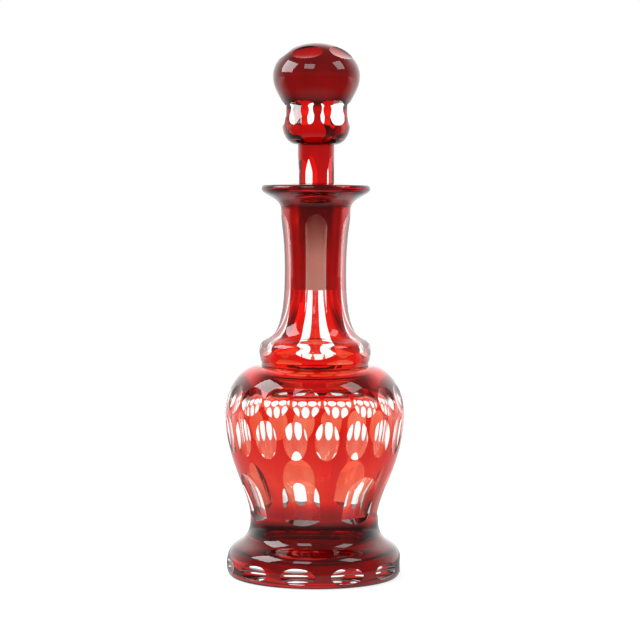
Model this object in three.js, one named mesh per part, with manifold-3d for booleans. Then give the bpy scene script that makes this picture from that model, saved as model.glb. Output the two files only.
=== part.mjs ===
// A cut-glass decanter of clear glass under a thin ruby skin, with a ground-in glass stopper.
// Millimetres, +Z up. The origin is the centre of the ring that the foot stands on, and the front faces -Y.

import * as THREE from 'three';
import * as BufferGeometryUtils from 'three/addons/utils/BufferGeometryUtils.js';
import Module from 'manifold-3d';

// Bottle: rises from one section of its outline to the next, from the table up
const FOOT_EDGE_HEIGHT = 6.2;
const FOOT_RISE = 26.3;
const BODY_RISE = 58.5;
const SHOULDER_RISE = 28.4;
const COLLAR_RISE = 7.2;
const NECK_RISE = 45.4;
const THROAT_RISE = 35.1;
const LIP_FLARE_RISE = 11.5;
const LIP_EDGE_RISE = 2.1;
const LIP_CREST_RISE = 1.1;

// Bottle: radii of those sections
const FOOT_RADIUS = 49.5;
const FOOT_UNDERCUT = 3.0;
const WAIST_RADIUS = 36.2;
const BELLY_RADIUS = 50.8;
const COLLAR_RADIUS = 31.4;
const COLLAR_GROOVE_DEPTH = 1.1;
const NECK_WALL = 6.7;
const THROAT_SWELL = 2.4;
const LIP_OVERHANG = 11.1;
const LIP_EDGE_WIDTH = 1.6;

// Bottle: the hollow, which follows the outside but keeps more glass at the base and at the neck
const BASE_THICKNESS = 13.0;
const FLOOR_RADIUS = 18.0;
const WELL_RADIUS = 30.9;
const WELL_CORNER_RISE = 9.0;
const WELL_ABOVE_WAIST = 2.5;
const BELLY_WALL = 4.5;
const SHOULDER_HOLLOW_RADIUS = 30.0;
const SHOULDER_HOLLOW_DROP = 5.8;
const RING_HOLLOW_RADIUS = 26.6;
const RING_HOLLOW_DROP = 0.3;
const ROOT_HOLLOW_RADIUS = 18.4;
const ROOT_HOLLOW_RISE = 8.7;
const THROAT_LENGTH = 2.7;
const SEAT_TOP_RADIUS = 10.6;
const SEAT_END_RADIUS = 8.3;
const SEAT_DEPTH = 60.0;
const MOUTH_ROUNDING = 1.0;

// Underside: the ground ring that the bottle stands on, round a shallow polished dish
const REST_RING_WIDTH = 9.0;
const DISH_DEPTH = 2.4;

// Stopper: its plug follows the seat with this gap all round, and its end has a small bevel
const SEAT_GAP = 0.3;
const PLUG_END_BEVEL = 0.7;

// Stopper: rises and radii of the sections above the mouth
const SHANK_RISE = 21.2;
const BULB_RISE = 11.6;
const BULB_RADIUS = 19.2;
const KNOB_WAIST_RISE = 8.8;
const KNOB_WAIST_RADIUS = 18.3;
const KNOB_RISE = 18.0;
const KNOB_RADIUS = 24.6;
const DOME_RISE = 18.7;

// Rows of cuts: copies, degrees that the first one is turned from the front, and millimetres.
// An oval has a width, a height and a depth. A flute has half its width: it may be hollow across, with the
// radius of the wheel's edge, and run out of the glass below its foot, so far outwards for each millimetre.
const FOOT_OVALS = { copies: 11, turn: -10.5, width: 19.4, height: 9.4, depth: 1.35 };
const ARCHES = { copies: 7, turn: -10.8, halfWidth: 10.3, hollow: 110.0, runOut: 4.0, slope: 0.75 };
const TALL_OVALS = { copies: 18, turn: 7.9, width: 13.7, height: 23.5, depth: 0.87 };
const ROUND_OVALS = { copies: 18, turn: -5.2, width: 15.6, height: 16.6, depth: 1.15 };
const NECK_PANELS = { copies: 5, turn: 1.0, halfAngle: 18.8, angleAtFoot: 20.5, runOut: 6.0, slope: 0.65 };
const SHANK_PANELS = { copies: 5, turn: -14.7, halfWidth: 3.4 };
const BULB_WINDOWS = { copies: 6, turn: -28.0, halfWidth: 6.8, reach: 17.0 };
const KNOB_OVALS = { copies: 5, turn: -18.0, width: 18.0, height: 12.0, depth: 1.6 };

// Where each row lies, measured from a section of the outline
const FOOT_OVALS_ABOVE_EDGE = 0.8;
const ARCHES_ABOVE_WAIST = 3.5;
const ARCH_HEIGHT = 24.0;
const TALL_OVALS_BELOW_BELLY = 9.7;
const ROUND_OVALS_ABOVE_BELLY = 11.0;
const NECK_PANELS_ABOVE_RING = 1.0;
const NECK_PANELS_BELOW_LIP = 14.2;
const NECK_PANEL_TOP_LENGTH = 8.0;
const SHANK_PANELS_BELOW_BULB = 6.0;
const SHANK_PANELS_INTO_MOUTH = 12.0;
const SHANK_PANEL_END_LENGTH = 9.0;
const WINDOWS_BELOW_BULB = 0.9;
const WINDOW_HEIGHT = 13.4;
const WINDOW_CORNER = 3.0;
const KNOB_OVALS_BELOW_TOP = 5.6;

// Curves of the outline: the share of a curve's height that each of its two upright ends keeps to
const FOOT_CURVE = [0.66, 0.7];
const BODY_CURVE = [0.25, 0.43];
const NECK_CURVE = [0.32, 1.12];
const THROAT_CURVE = [0.62, 0.2];
const LIP_CURVE = [0.56, 0.35];
const KNOB_WAIST_CURVE = [0.4, 0.45];
const KNOB_CURVE = [0.25, 0.45];
const QUARTER_ROUND = 0.5523;

// Curves of the hollow: outwards and upwards, how far each holds its direction at its start and at its end
const WELL_CORNER_HANDLES = [[6.9, 0], [0, 5.0]];
const BELLY_HANDLES = [[0.5, 11.0], [0, 24.0]];
const SHOULDER_HANDLES = [[0, 15.5], [-6.0, 5.1]];
const RING_HANDLES = [[-2.2, 2.6], [0, 6.0]];
const ROOT_HANDLES = [[0, 3.7], [-4.2, 4.0]];
const THROAT_HANDLES = [[-3.4, 3.9], [-1.0, 10.5]];

// Fineness of the round surfaces, and the reach of a cutter outside the glass
const OUTSIDE_STEPS = 56;
const INSIDE_STEPS = 28;
const STOPPER_STEPS = 36;
const CURVE_STEPS = 5;
const CUTTER_STEPS = 12;
const CUTTER_RINGS = 1;
const FLUTE_STEPS = 8;
const FLUTE_CROSS_STEPS = 3;
const RUN_OUT_STEPS = 2;
const LENS_BOWL = 6.0;
const CUTTER_REACH = 8.0;
const FLUTE_MARGIN = 0.6;

// Heights of the bottle's sections
const edgeZ = FOOT_EDGE_HEIGHT;
const waistZ = edgeZ + FOOT_RISE;
const bellyZ = waistZ + BODY_RISE;
const collarZ = bellyZ + SHOULDER_RISE;
const ringZ = collarZ + COLLAR_RISE;
const neckZ = ringZ + NECK_RISE;
const throatZ = neckZ + THROAT_RISE;
const lipZ = throatZ + LIP_FLARE_RISE;
const lipTopZ = lipZ + LIP_EDGE_RISE;
const mouthZ = lipTopZ + LIP_CREST_RISE;
const seatEndZ = mouthZ - SEAT_DEPTH;

// Radii of the neck, which is as thick as its bore needs
const neckRadius = SEAT_TOP_RADIUS + NECK_WALL;
const throatRadius = neckRadius + THROAT_SWELL;
const lipRadius = throatRadius + LIP_OVERHANG;
const grooveRadius = COLLAR_RADIUS - COLLAR_GROOVE_DEPTH;

const wasm = await Module();
wasm.setup();

// A closed mesh becomes a solid once its shared corners are joined.
function toSolid(geometry) {
  const bare = geometry.clone();
  bare.deleteAttribute('normal');
  bare.deleteAttribute('uv');
  const merged = BufferGeometryUtils.mergeVertices(bare, 1e-4);
  return new wasm.Manifold(new wasm.Mesh({
    numProp: 3,
    vertProperties: new Float32Array(merged.attributes.position.array),
    triVerts: new Uint32Array(merged.index.array),
  }));
}

function toGeometry(solid) {
  const mesh = solid.getMesh();
  const geometry = new THREE.BufferGeometry();
  geometry.setAttribute('position', new THREE.BufferAttribute(mesh.vertProperties, 3));
  geometry.setIndex(new THREE.BufferAttribute(mesh.triVerts, 1));
  geometry.computeVertexNormals();
  return geometry;
}

// Turns an outline of radius and height about the Z axis.
function turned(outline, steps) {
  const geometry = new THREE.LatheGeometry(outline, steps);
  geometry.rotateX(Math.PI / 2);
  return geometry;
}

// Adds a curve that is upright at both ends, such as the side of a waist or a belly.
function uprightCurve(path, radius, z, [startShare, endShare]) {
  const from = path.currentPoint.clone();
  const rise = z - from.y;
  path.bezierCurveTo(from.x, from.y + startShare * rise, radius, z - endShare * rise, radius, z);
}

// Adds a quarter of an ellipse: it starts upright and ends level, or the other way round.
function quarterRound(path, radius, z, startsUpright) {
  const from = path.currentPoint.clone();
  const across = QUARTER_ROUND * (radius - from.x);
  const up = QUARTER_ROUND * (z - from.y);
  if (startsUpright) {
    path.bezierCurveTo(from.x, from.y + up, radius - across, z, radius, z);
  } else {
    path.bezierCurveTo(from.x + across, from.y, radius, z - up, radius, z);
  }
}

// Adds a curve with a handle, outwards and upwards, at each of its two ends.
function handledCurve(path, radius, z, [start, end]) {
  const from = path.currentPoint.clone();
  path.bezierCurveTo(from.x + start[0], from.y + start[1], radius - end[0], z - end[1], radius, z);
}

function bottleOutline() {
  const restRadius = FOOT_RADIUS - FOOT_UNDERCUT;
  const path = new THREE.Path();
  path.moveTo(0, DISH_DEPTH);
  path.quadraticCurveTo((restRadius - REST_RING_WIDTH) / 2, DISH_DEPTH, restRadius - REST_RING_WIDTH, 0);
  path.lineTo(restRadius, 0);
  quarterRound(path, FOOT_RADIUS, edgeZ, false);
  uprightCurve(path, WAIST_RADIUS, waistZ, FOOT_CURVE);
  uprightCurve(path, BELLY_RADIUS, bellyZ, BODY_CURVE);
  quarterRound(path, grooveRadius, collarZ, true);
  path.lineTo(grooveRadius, collarZ + COLLAR_RISE / 4);
  quarterRound(path, COLLAR_RADIUS, ringZ, false);
  uprightCurve(path, neckRadius, neckZ, NECK_CURVE);
  uprightCurve(path, throatRadius, throatZ, THROAT_CURVE);
  uprightCurve(path, lipRadius, lipZ, LIP_CURVE);
  quarterRound(path, lipRadius - LIP_EDGE_WIDTH, lipTopZ, true);
  path.lineTo(throatRadius, mouthZ);
  path.lineTo(0, mouthZ);
  return path.getPoints(CURVE_STEPS);
}

// The hollow reaches past the mouth, so that cutting it out opens the bottle.
function hollowOutline() {
  const floorZ = BASE_THICKNESS;
  const cornerZ = floorZ + WELL_CORNER_RISE;
  const wellZ = waistZ + WELL_ABOVE_WAIST;
  const path = new THREE.Path();
  path.moveTo(0, floorZ);
  path.lineTo(FLOOR_RADIUS, floorZ);
  handledCurve(path, WELL_RADIUS, cornerZ, WELL_CORNER_HANDLES);
  path.lineTo(WELL_RADIUS, wellZ);
  handledCurve(path, BELLY_RADIUS - BELLY_WALL, bellyZ, BELLY_HANDLES);
  handledCurve(path, SHOULDER_HOLLOW_RADIUS, collarZ - SHOULDER_HOLLOW_DROP, SHOULDER_HANDLES);
  handledCurve(path, RING_HOLLOW_RADIUS, ringZ - RING_HOLLOW_DROP, RING_HANDLES);
  handledCurve(path, ROOT_HOLLOW_RADIUS, ringZ + ROOT_HOLLOW_RISE, ROOT_HANDLES);
  handledCurve(path, SEAT_END_RADIUS, seatEndZ - THROAT_LENGTH, THROAT_HANDLES);
  path.lineTo(SEAT_END_RADIUS, seatEndZ);
  path.lineTo(SEAT_TOP_RADIUS, mouthZ - MOUTH_ROUNDING);
  path.lineTo(SEAT_TOP_RADIUS + MOUTH_ROUNDING, mouthZ);
  path.lineTo(SEAT_TOP_RADIUS + MOUTH_ROUNDING, mouthZ + CUTTER_REACH);
  path.lineTo(0, mouthZ + CUTTER_REACH);
  return path.getPoints(CURVE_STEPS);
}

// The stopper's heights count from the mouth, so its plug hangs below zero.
const bulbZ = SHANK_RISE + BULB_RISE;
const knobWaistZ = bulbZ + KNOB_WAIST_RISE;
const knobZ = knobWaistZ + KNOB_RISE;
const topZ = knobZ + DOME_RISE;

function stopperOutline() {
  const plugTop = SEAT_TOP_RADIUS - SEAT_GAP;
  const plugEnd = SEAT_END_RADIUS - SEAT_GAP;
  const path = new THREE.Path();
  path.moveTo(0, -SEAT_DEPTH);
  path.lineTo(plugEnd - PLUG_END_BEVEL, -SEAT_DEPTH);
  path.lineTo(plugEnd, -SEAT_DEPTH + PLUG_END_BEVEL);
  path.lineTo(plugTop, -MOUTH_ROUNDING);
  path.lineTo(plugTop, SHANK_RISE);
  quarterRound(path, BULB_RADIUS, bulbZ, false);
  uprightCurve(path, KNOB_WAIST_RADIUS, knobWaistZ, KNOB_WAIST_CURVE);
  uprightCurve(path, KNOB_RADIUS, knobZ, KNOB_CURVE);
  quarterRound(path, 0, topZ, true);
  return path.getPoints(CURVE_STEPS);
}

// The outline's points climb past a height once on the outer side; this is the first one above it.
function outerPointAbove(outline, z) {
  return outline.findIndex((point, i) => i > 0 && point.x > 0 && point.y >= z && outline[i - 1].y < z);
}

// Radius of the outer side at a height, between its two nearest points.
function radiusAt(outline, z) {
  const upper = outerPointAbove(outline, z);
  const [low, high] = [outline[upper - 1], outline[upper]];
  return THREE.MathUtils.mapLinear(z, low.y, high.y, low.x, high.x);
}

// The point that lies a length along an outline.
function pointAlong(outline, length) {
  let left = length;
  let i = 1;
  while (i < outline.length - 1 && left > outline[i].distanceTo(outline[i - 1])) {
    left -= outline[i].distanceTo(outline[i - 1]);
    i += 1;
  }
  return outline[i - 1].clone().lerp(outline[i], left / outline[i].distanceTo(outline[i - 1]));
}

// How far along an outline the outer surface reaches a height.
function lengthTo(outline, z) {
  const upper = outerPointAbove(outline, z);
  let length = outline[upper - 1].distanceTo(new THREE.Vector2(radiusAt(outline, z), z));
  for (let i = 1; i < upper; i += 1) {
    length += outline[i].distanceTo(outline[i - 1]);
  }
  return length;
}

// Where a cut sits on an outline: its radius, how far the surface faces up, and its two curvatures.
function spotOn(outline, z, height) {
  const length = lengthTo(outline, z);
  const reach = height / 2;
  const here = pointAlong(outline, length);
  const below = here.clone().sub(pointAlong(outline, length - reach));
  const above = pointAlong(outline, length + reach).sub(here);
  const tilt = Math.atan2(-below.x - above.x, below.y + above.y);
  const turn = Math.atan2(-above.x, above.y) - Math.atan2(-below.x, below.y);
  return { radius: here.x, z, tilt, aroundCurve: Math.cos(tilt) / here.x, alongCurve: turn / reach };
}

// Turns a cutter that faces +Z so that it faces out of the glass at a spot, and sinks it to its depth.
function placed(geometry, spot, degrees, depth) {
  const turn = THREE.MathUtils.degToRad(degrees);
  const outward = new THREE.Vector3(Math.sin(turn), -Math.cos(turn), 0);
  const up = new THREE.Vector3(0, 0, 1);
  const sideways = new THREE.Vector3().crossVectors(up, outward);
  const facing = outward.clone().multiplyScalar(Math.cos(spot.tilt)).addScaledVector(up, Math.sin(spot.tilt));
  const along = new THREE.Vector3().crossVectors(facing, sideways);
  const seat = outward.clone().multiplyScalar(spot.radius).addScaledVector(up, spot.z);
  const matrix = new THREE.Matrix4().makeBasis(sideways, along, facing);
  matrix.setPosition(seat.addScaledVector(facing, -depth));
  return toSolid(geometry.clone().applyMatrix4(matrix));
}

// The bowl of a grinding wheel: an ellipsoid cap that leaves an oval of the row's width and height.
function lens(row, spot) {
  const flattest = 1e-3;
  const acrossCurve = Math.max((8 * row.depth) / row.width ** 2 - spot.aroundCurve, flattest);
  const alongCurve = Math.max((8 * row.depth) / row.height ** 2 - spot.alongCurve, flattest);
  const rim = 0.42 * Math.PI;
  const cap = new THREE.Path();
  cap.moveTo(0, 0);
  cap.absellipse(0, 1, 1, 1, -Math.PI / 2, -Math.PI / 2 + rim, false, 0);
  cap.lineTo(Math.sin(rim), 2);
  cap.lineTo(0, 2);
  const geometry = turned(cap.getPoints(CUTTER_RINGS), CUTTER_STEPS);
  geometry.scale(Math.sqrt(LENS_BOWL / acrossCurve), Math.sqrt(LENS_BOWL / alongCurve), LENS_BOWL);
  return geometry;
}

function lensRow(outline, row, z) {
  const spot = spotOn(outline, z, row.height);
  const cutter = lens(row, spot);
  return around(row, (degrees) => placed(cutter, spot, degrees, row.depth));
}

// One ring of a flute's cutter: the face that it leaves, from side to side, then its back in the open.
function fluteRing(row, { reach, z, halfWidth, outer }) {
  const across = row.hollow ? FLUTE_CROSS_STEPS : 1;
  const wide = halfWidth + FLUTE_MARGIN;
  const points = [];
  for (let i = 0; i <= across; i += 1) {
    const x = THREE.MathUtils.lerp(-wide, wide, i / across);
    const sunk = row.hollow ? (halfWidth ** 2 - x ** 2) / (2 * row.hollow) : 0;
    points.push(new THREE.Vector3(x, sunk - reach, z));
  }
  points.push(new THREE.Vector3(wide, -outer, z), new THREE.Vector3(-wide, -outer, z));
  return points;
}

// A closed mesh over rings of as many points each, which turn the same way from the lowest to the highest.
function lofted(rings) {
  const count = rings[0].length;
  const corners = rings.flat();
  const faces = [];
  for (let low = 0; low < (rings.length - 1) * count; low += count) {
    for (let i = 0; i < count; i += 1) {
      const k = (i + 1) % count;
      faces.push([low + k, low + i, low + count + i], [low + k, low + count + i, low + count + k]);
    }
  }
  const top = (rings.length - 1) * count;
  for (let i = 1; i < count - 1; i += 1) {
    faces.push([0, i, i + 1], [top, top + i + 1, top + i]);
  }
  const geometry = new THREE.BufferGeometry().setFromPoints(corners);
  geometry.setIndex(faces.flat());
  return geometry;
}

// A wheel drawn along the glass from one height to another: as deep as its width on the round glass makes it,
// unless the row keeps one reach from the axis.
function fluteRow(outline, row, fromZ, toZ, halfWidthAt) {
  const sections = [];
  for (let i = 0; i <= FLUTE_STEPS; i += 1) {
    const z = THREE.MathUtils.lerp(fromZ, toZ, i / FLUTE_STEPS);
    const radius = radiusAt(outline, z);
    const halfWidth = halfWidthAt(z);
    const reach = row.reach ?? Math.sqrt(radius ** 2 - halfWidth ** 2);
    sections.push({ reach, z, halfWidth, outer: radius + CUTTER_REACH });
  }
  const foot = sections[0];
  for (let i = 1; row.runOut && i <= RUN_OUT_STEPS; i += 1) {
    const down = (row.runOut * i) / RUN_OUT_STEPS;
    sections.unshift({ ...foot, reach: foot.reach + row.slope * down, z: foot.z - down });
  }
  const cutter = lofted(sections.map((section) => fluteRing(row, section)));
  return around(row, (degrees) => toSolid(cutter.clone().rotateZ(THREE.MathUtils.degToRad(degrees))));
}

// Half the width of an arch: straight sides under a round top.
function archRow(outline) {
  const fromZ = waistZ + ARCHES_ABOVE_WAIST;
  const toZ = fromZ + ARCH_HEIGHT;
  const half = ARCHES.halfWidth;
  return fluteRow(outline, ARCHES, fromZ, toZ, (z) => {
    const over = Math.max(0, z - (toZ - half));
    return Math.sqrt(Math.max(0, half ** 2 - over ** 2));
  });
}

function around(row, make) {
  return Array.from({ length: row.copies }, (_, i) => make(row.turn + (360 / row.copies) * i));
}

function cutFrom(solid, cutters) {
  return cutters.reduce((rest, cutter) => rest.subtract(cutter), solid);
}

// A neck panel takes a share of the neck's round that grows towards the collar. Its top is rounded off.
function neckPanels(outline) {
  const fromZ = ringZ + NECK_PANELS_ABOVE_RING;
  const toZ = lipZ - NECK_PANELS_BELOW_LIP;
  return fluteRow(outline, NECK_PANELS, fromZ, toZ, (z) => {
    const low = THREE.MathUtils.clamp((neckZ - z) / (neckZ - fromZ), 0, 1);
    const angle = THREE.MathUtils.lerp(NECK_PANELS.halfAngle, NECK_PANELS.angleAtFoot, low ** 2);
    const over = THREE.MathUtils.clamp((z - toZ) / NECK_PANEL_TOP_LENGTH + 1, 0, 1);
    return radiusAt(outline, z) * Math.sin(THREE.MathUtils.degToRad(angle)) * Math.sqrt(1 - over ** 2);
  });
}

function shankPanels(outline) {
  const fromZ = -SHANK_PANELS_INTO_MOUTH;
  const toZ = SHANK_RISE - SHANK_PANELS_BELOW_BULB;
  return fluteRow(outline, SHANK_PANELS, fromZ, toZ, (z) => {
    const toEnd = Math.min(z - fromZ, toZ - z) / SHANK_PANEL_END_LENGTH;
    return SHANK_PANELS.halfWidth * Math.sqrt(THREE.MathUtils.clamp(toEnd, 0, 1));
  });
}

function bulbWindows(outline) {
  const fromZ = bulbZ - WINDOWS_BELOW_BULB;
  const toZ = fromZ + WINDOW_HEIGHT;
  return fluteRow(outline, BULB_WINDOWS, fromZ, toZ, (z) => {
    const over = Math.max(0, fromZ + WINDOW_CORNER - z, z - (toZ - WINDOW_CORNER));
    return BULB_WINDOWS.halfWidth - WINDOW_CORNER + Math.sqrt(Math.max(0, WINDOW_CORNER ** 2 - over ** 2));
  });
}

function makeBottle() {
  const outline = bottleOutline();
  const outside = toSolid(turned(outline, OUTSIDE_STEPS));
  const hollow = toSolid(turned(hollowOutline(), INSIDE_STEPS));
  return cutFrom(outside, [
    hollow,
    ...lensRow(outline, FOOT_OVALS, edgeZ + FOOT_OVALS_ABOVE_EDGE),
    ...archRow(outline),
    ...lensRow(outline, TALL_OVALS, bellyZ - TALL_OVALS_BELOW_BELLY),
    ...lensRow(outline, ROUND_OVALS, bellyZ + ROUND_OVALS_ABOVE_BELLY),
    ...neckPanels(outline),
  ]);
}

function makeStopper() {
  const outline = stopperOutline();
  return cutFrom(toSolid(turned(outline, STOPPER_STEPS)), [
    ...shankPanels(outline),
    ...bulbWindows(outline),
    ...lensRow(outline, KNOB_OVALS, topZ - KNOB_OVALS_BELOW_TOP),
  ]);
}

const rubyGlass = new THREE.MeshStandardMaterial({ color: 0xb41c1c, roughness: 0.05, metalness: 0 });
const stopperGlass = new THREE.MeshStandardMaterial({ color: 0xa01a1c, roughness: 0.08, metalness: 0 });

const bottle = new THREE.Mesh(toGeometry(makeBottle()), rubyGlass);
bottle.name = 'carafe_body';

const stopper = new THREE.Mesh(toGeometry(makeStopper()), stopperGlass);
stopper.name = 'stopper';
stopper.position.z = mouthZ;

const decanter = new THREE.Group();
decanter.add(bottle, stopper);

export default decanter;
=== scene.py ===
"""A cut-glass decanter: clear crystal under a thin ruby flash, with a stopper that is ground in.

Each piece is turned from a half section, as it would be at the glassblower's chair, and its rows of wheel
cuts are taken out of it, down to the clear glass. Every surface keeps the finish that its maker left: flashed
skin, polished crystal or ground glass.
"""

import math

import bpy
import numpy as np
from mathutils import Euler, Matrix, Vector


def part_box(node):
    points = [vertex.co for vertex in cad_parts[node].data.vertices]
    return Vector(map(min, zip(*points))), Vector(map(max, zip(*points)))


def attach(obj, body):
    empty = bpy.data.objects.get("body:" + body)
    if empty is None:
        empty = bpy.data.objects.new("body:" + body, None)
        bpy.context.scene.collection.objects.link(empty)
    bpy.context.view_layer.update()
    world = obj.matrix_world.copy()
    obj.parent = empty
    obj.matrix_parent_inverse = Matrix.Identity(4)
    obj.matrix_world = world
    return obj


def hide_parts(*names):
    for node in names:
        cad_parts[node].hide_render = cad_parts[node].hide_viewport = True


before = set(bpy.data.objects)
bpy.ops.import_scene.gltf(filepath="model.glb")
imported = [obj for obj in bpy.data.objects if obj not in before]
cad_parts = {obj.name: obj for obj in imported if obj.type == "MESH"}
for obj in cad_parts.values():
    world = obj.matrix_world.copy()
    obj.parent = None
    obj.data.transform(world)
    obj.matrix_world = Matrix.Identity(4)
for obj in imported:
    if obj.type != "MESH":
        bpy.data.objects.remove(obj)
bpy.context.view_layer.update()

MM = 0.001
TINY = 1e-9

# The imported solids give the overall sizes, in millimetres
bottle_low, bottle_high = (np.array(corner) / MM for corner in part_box("carafe_body"))
stopper_low, stopper_high = (np.array(corner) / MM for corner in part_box("stopper"))
MOUTH_Z = bottle_high[2]
TOP_Z = stopper_high[2]
PLUG_END_Z = stopper_low[2]
BELLY_RADIUS = (bottle_high[0] - bottle_low[0]) / 2
KNOB_RADIUS = (stopper_high[0] - stopper_low[0]) / 2

# Bottle: heights of its sections above the table
EDGE_Z = 6.2
WAIST_Z = EDGE_Z + 26.3
BELLY_Z = WAIST_Z + 58.5
COLLAR_Z = BELLY_Z + 28.4
RING_Z = COLLAR_Z + 7.2
GROOVE_TOP_Z = COLLAR_Z + (RING_Z - COLLAR_Z) / 4
NECK_Z = RING_Z + 45.4
THROAT_Z = NECK_Z + 35.1
LIP_Z = THROAT_Z + 11.5
LIP_TOP_Z = LIP_Z + 2.1

# Bottle: radii of those sections
FOOT_RADIUS = 49.5
REST_RADIUS = FOOT_RADIUS - 3.0
WAIST_RADIUS = 36.2
RING_RADIUS = 31.4
GROOVE_RADIUS = RING_RADIUS - 1.1
NECK_RADIUS = 17.3
THROAT_RADIUS = 19.7
LIP_RADIUS = 30.8
LIP_EDGE_WIDTH = 1.6

# Bottle: the hollow, the seat ground into its neck, and the dish under its foot
FLOOR_Z = 13.0
FLOOR_RADIUS = 18.0
WELL_RADIUS = 30.9
WELL_Z = FLOOR_Z + 9.0
WELL_TOP_Z = WAIST_Z + 2.5
BELLY_WALL = 4.5
SHOULDER_RADIUS = 30.0
SHOULDER_Z = COLLAR_Z - 5.8
HOLLOW_RING_RADIUS = 26.6
HOLLOW_RING_Z = RING_Z - 0.3
ROOT_RADIUS = 18.4
ROOT_Z = RING_Z + 8.7
SEAT_TOP_RADIUS = 10.6
SEAT_END_RADIUS = 8.3
THROAT_LENGTH = 2.7
MOUTH_ROUNDING = 1.0
REST_RING_WIDTH = 9.0
DISH_DEPTH = 2.4
DISH_SHARE = 0.7

# Bottle: how far each curve of the hollow keeps straight on, outwards and upwards, at its two ends
ROOT_HANDLES = ((1.0, -10.5), (3.4, -3.9))
HOLLOW_RING_HANDLES = ((4.2, -4.0), (0, -3.7))
SHOULDER_HANDLES = ((0, -6.0), (2.2, -2.6))
BELLY_HANDLES = ((6.0, -5.1), (0, -15.5))
WELL_HANDLES = ((0, -24.0), (-0.5, -11.0))
WELL_CORNER_HANDLES = ((0, -5.0), (-6.9, 0))

# Stopper
SEAT_GAP = 0.3
PLUG_END_BEVEL = 0.7
BULB_FOOT_Z = MOUTH_Z + 21.2
BULB_Z = BULB_FOOT_Z + 11.6
BULB_RADIUS = 19.2
KNOB_WAIST_Z = BULB_Z + 8.8
KNOB_WAIST_RADIUS = 18.3
KNOB_Z = KNOB_WAIST_Z + 18.0

# Share of a curve's height that each of its two upright ends keeps to
FOOT_CURVE = (0.66, 0.7)
BODY_CURVE = (0.25, 0.43)
NECK_CURVE = (0.32, 1.12)
THROAT_CURVE = (0.62, 0.2)
LIP_CURVE = (0.56, 0.35)
KNOB_WAIST_CURVE = (0.4, 0.45)
KNOB_CURVE = (0.25, 0.45)
QUARTER_ROUND = 0.5523

# Ovals: width, height and depth of each in mm, and how high up it sits
FOOT_OVAL = (19.4, 9.4, 1.35)
FOOT_OVAL_Z = EDGE_Z + 0.8
TALL_OVAL = (13.7, 23.5, 0.87)
TALL_OVAL_Z = BELLY_Z - 9.7
ROUND_OVAL = (15.6, 16.6, 1.15)
ROUND_OVAL_Z = BELLY_Z + 11.0
KNOB_OVAL = (18.0, 12.0, 1.6)
KNOB_OVAL_Z = TOP_Z - 5.6

# Arches: the edge of their wheel is rounded to ARCH_HOLLOW, and it climbs out of the glass below them
ARCH_BOTTOM = WAIST_Z + 3.5
ARCH_TOP = ARCH_BOTTOM + 24.0
ARCH_HALF_WIDTH = 10.3
ARCH_HOLLOW = 55.0
ARCH_RUN_OUT = 4.0
ARCH_SLOPE = 0.75

# Neck panels: half their angle round the neck in degrees, and how much wider it gets down on the collar
NECK_PANEL_BOTTOM = RING_Z + 1.0
NECK_PANEL_TOP = LIP_Z - 14.2
NECK_PANEL_ANGLE = 18.8
NECK_PANEL_SPREAD = 1.7
NECK_PANEL_ROUND_TOP = 8.0
NECK_PANEL_RUN_OUT = 6.0
NECK_PANEL_SLOPE = 0.65

# Shank panels: pointed at both ends
SHANK_PANEL_BOTTOM = MOUTH_Z - 12.0
SHANK_PANEL_TOP = BULB_FOOT_Z - 6.0
SHANK_PANEL_HALF_WIDTH = 3.4
SHANK_PANEL_POINT = 9.0

# Bulb windows: flats at one distance from the axis, with round corners
WINDOW_BOTTOM = BULB_Z - 0.9
WINDOW_TOP = WINDOW_BOTTOM + 13.4
WINDOW_HALF_WIDTH = 6.7
WINDOW_CORNER = 3.0
WINDOW_REACH = 17.0

# Fineness: spacing of the turned rows in mm, how much wider it is where a section is straight, steps round
# each piece, and the angle from which an edge stays sharp
ROW_SPACING = 1.5
STRAIGHT_STRETCH = 2
FEWEST_ROWS = 4
BOTTLE_STEPS = 216
STOPPER_STEPS = 192
CREASE = math.radians(28)

# A curve is about this much as long as the lines through its four points
CURVE_TO_LINES = 0.9

# Wheel cutter: an ellipsoid whose half height is so many depths of its oval, cut off at this angle from its
# pole, and no flatter than this curvature per mm
BOWL_ANGLE = math.radians(49)
BOWL_DEPTHS = 4.0
BOWL_STEPS = 56
BOWL_RINGS = 12
FLATTEST_BOWL = 1e-3

# Flute cutter: how much wider it is than its flute, as a factor and in mm, and how far it reaches out of the
# glass
FLUTE_MARGIN = 1.12
FLUTE_EDGE = 0.3
FLUTE_LIFT = 3.0

# Flute: spacing of its rows in mm, its steps across and down its run-out, and the most of the glass's radius
# that half its width may take
FLUTE_SPACING = 0.8
FLUTE_STEPS = 10
RUN_OUT_STEPS = 5
WIDEST_FLUTE = 0.95

# No cut sits nearer to the axis than this, in mm
NEAREST_CUT = 5

# Surface numbers, which are also the material slots of both pieces
SKIN, POLISHED, GROUND = 0, 1, 2

# Attributes that go through a cut: the surface of a face, and the normal at its corners
SURFACE = "surface"
SMOOTH_NORMAL = "smooth_normal"


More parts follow.
